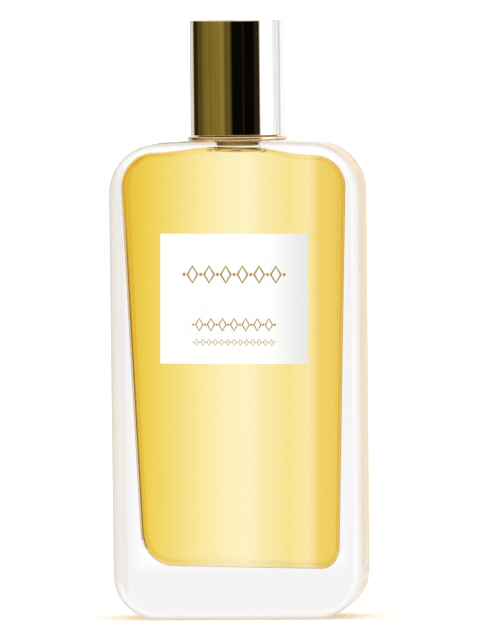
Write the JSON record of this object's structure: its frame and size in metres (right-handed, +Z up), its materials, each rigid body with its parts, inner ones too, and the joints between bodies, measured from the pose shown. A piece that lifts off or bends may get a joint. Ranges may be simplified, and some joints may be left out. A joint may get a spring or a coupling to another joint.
{
  "type": "perfume bottle",
  "caption": "Flat clear glass perfume bottle with a heavy base, filled, with a blank-lettered front label, a crimped spray pump and a round gold pull-off cap.",
  "frame": {"origin": "middle of the base, on the surface that the bottle stands on", "axes": "+Z up along the neck, -Y out of the front face with the label, +X to the right of the front"},
  "size_m": [0.064, 0.0302, 0.1528],
  "materials": {
    "clear_glass": "polished",
    "perfume": "gloss",
    "label_paper": "matte",
    "gasket_rubber": "matte",
    "pump_brown": "satin",
    "pump_natural": "satin",
    "pump_steel": "polished",
    "tube_clear": "gloss",
    "ferrule_gold": "polished",
    "collar_gold": "polished",
    "button_gold": "polished",
    "nozzle_black": "satin",
    "cap_gold": "polished",
    "liner_white": "satin"
  },
  "bodies": {
    "bottle": {"glass_bottle": "clear_glass", "perfume": "perfume", "label": "label_paper", "neck_gasket": "gasket_rubber", "pump_housing": "pump_brown", "pump_closure": "pump_natural", "check_ball": "pump_steel", "return_spring": "pump_steel", "dip_tube": "tube_clear", "crimp_ferrule": "ferrule_gold", "collar": "collar_gold"},
    "pump_stem": {"stem": "pump_natural", "piston": "pump_natural"},
    "button": {"spray_button": "button_gold", "nozzle_insert": "nozzle_black"},
    "cap": {"cap_shell": "cap_gold", "cap_liner": "liner_white"}
  },
  "joints": [
    {"name": "cap_pull", "type": "slide", "parent": "bottle", "child": "cap", "axis": [0, 0, 1], "range_m": [0, 0.032]},
    {"name": "pump_press", "type": "slide", "parent": "bottle", "child": "pump_stem", "axis": [0, 0, -1], "range_m": [0, 0.003], "stiffness_N_per_m": 1500, "springref_m": -0.002, "deforming": ["return_spring"]},
    {"name": "button_turn", "type": "hinge", "parent": "pump_stem", "child": "button", "pos_m": [0, 0, 0.1405], "axis": [0, 0, 1], "continuous": true}
  ]
}
